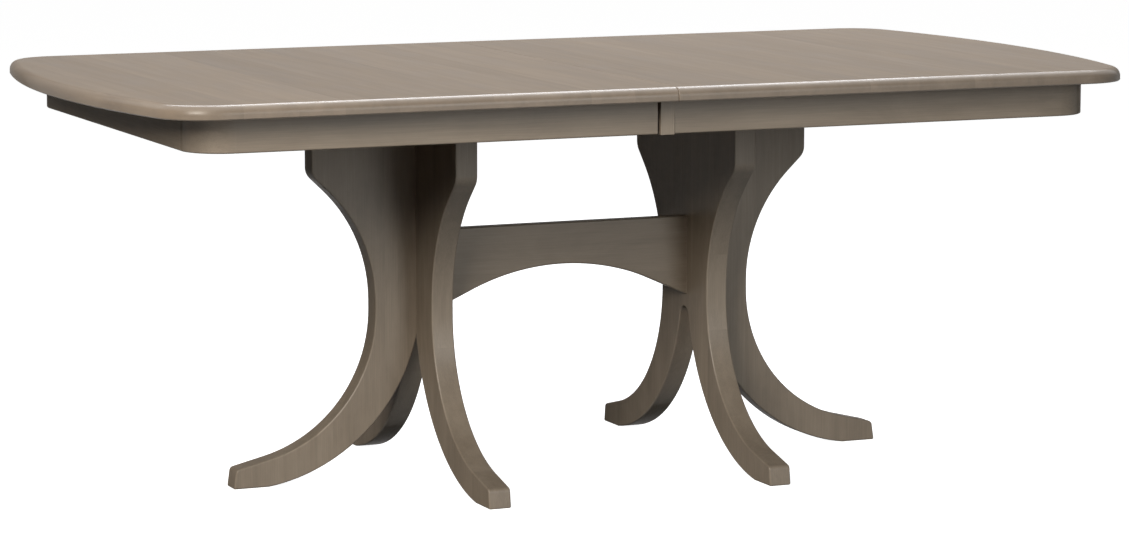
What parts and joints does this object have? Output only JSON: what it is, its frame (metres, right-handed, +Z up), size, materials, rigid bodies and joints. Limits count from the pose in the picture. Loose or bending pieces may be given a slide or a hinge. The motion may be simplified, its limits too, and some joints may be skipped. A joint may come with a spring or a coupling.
{
  "type": "extending pedestal table",
  "caption": "Extending dining table on two curved-leg pedestals joined by an arched stretcher; the top halves slide apart on geared wooden slides.",
  "frame": {"origin": "on the floor, under the middle of the closed table", "axes": "+X along the table towards its right end as seen in the picture, +Y away from the near side, +Z up"},
  "size_m": [1.9812, 1.0668, 0.762],
  "materials": {
    "top_wood": "satin grey-brown stain",
    "frame_wood": "satin grey-brown stain",
    "plain_wood": "bare sanded hardwood",
    "gear_plastic": "moulded matte",
    "screw_steel": "zinc plated",
    "zinc_steel": "zinc plated"
  },
  "bodies": {
    "root": {"left_cross_legs": "frame_wood", "right_cross_legs": "frame_wood", "left_end_leg": "frame_wood", "right_end_leg": "frame_wood", "leg_dowels": "plain_wood", "stretcher": "frame_wood", "stretcher_studs": "zinc_steel", "stretcher_nuts": "zinc_steel", "left_pedestal_board": "plain_wood", "right_pedestal_board": "plain_wood", "leg_bolts": "zinc_steel", "near_fixed_slide": "plain_wood", "far_fixed_slide": "plain_wood", "slide_screws": "screw_steel", "gear_bridge": "plain_wood", "bridge_screws": "screw_steel", "pinion_axle": "zinc_steel", "axle_nut": "zinc_steel", "pinion_spacer": "gear_plastic"},
    "pinion": {"pinion": "gear_plastic"},
    "left_top": {"left_top_panel": "top_wood", "left_near_skirt": "frame_wood", "left_far_skirt": "frame_wood", "left_end_skirt": "frame_wood", "left_skirt_corners": "frame_wood", "left_glue_blocks": "plain_wood", "left_near_rail": "plain_wood", "left_far_rail": "plain_wood", "left_rack": "gear_plastic", "left_rail_screws": "screw_steel", "left_rack_screws": "screw_steel", "left_seam_pins": "plain_wood", "left_lock_keepers": "zinc_steel"},
    "right_top": {"right_top_panel": "top_wood", "right_near_skirt": "frame_wood", "right_far_skirt": "frame_wood", "right_end_skirt": "frame_wood", "right_skirt_corners": "frame_wood", "right_glue_blocks": "plain_wood", "right_near_rail": "plain_wood", "right_far_rail": "plain_wood", "right_rack": "gear_plastic", "right_rail_screws": "screw_steel", "right_rack_screws": "screw_steel", "right_seam_blocks": "frame_wood", "right_lock_bases": "zinc_steel"},
    "near_lock": {"near_lock_lever": "zinc_steel"},
    "far_lock": {"far_lock_lever": "zinc_steel"}
  },
  "joints": [
    {"name": "left_top_slide", "type": "slide", "parent": "root", "child": "left_top", "axis": [-1, 0, 0], "range_m": [0, 0.2286]},
    {"name": "right_top_slide", "type": "slide", "parent": "root", "child": "right_top", "axis": [1, 0, 0], "range_m": [0, 0.2286]},
    {"name": "pinion_turn", "type": "hinge", "parent": "root", "child": "pinion", "pos_m": [0, 0, 0.7216], "axis": [0, 0, -1], "range_deg": [0, 546]},
    {"name": "near_lock_turn", "type": "hinge", "parent": "right_top", "child": "near_lock", "pos_m": [0.034, -0.3897, 0.7323], "axis": [0, 0, -1], "range_deg": [0, 90]},
    {"name": "far_lock_turn", "type": "hinge", "parent": "right_top", "child": "far_lock", "pos_m": [0.034, 0.3897, 0.7323], "axis": [0, 0, 1], "range_deg": [0, 90]}
  ],
  "couplings": [
    {"joint": "right_top_slide", "follows": "left_top_slide", "ratio": 1},
    {"joint": "pinion_turn", "follows": "left_top_slide", "rad_per_m": 41.667}
  ]
}
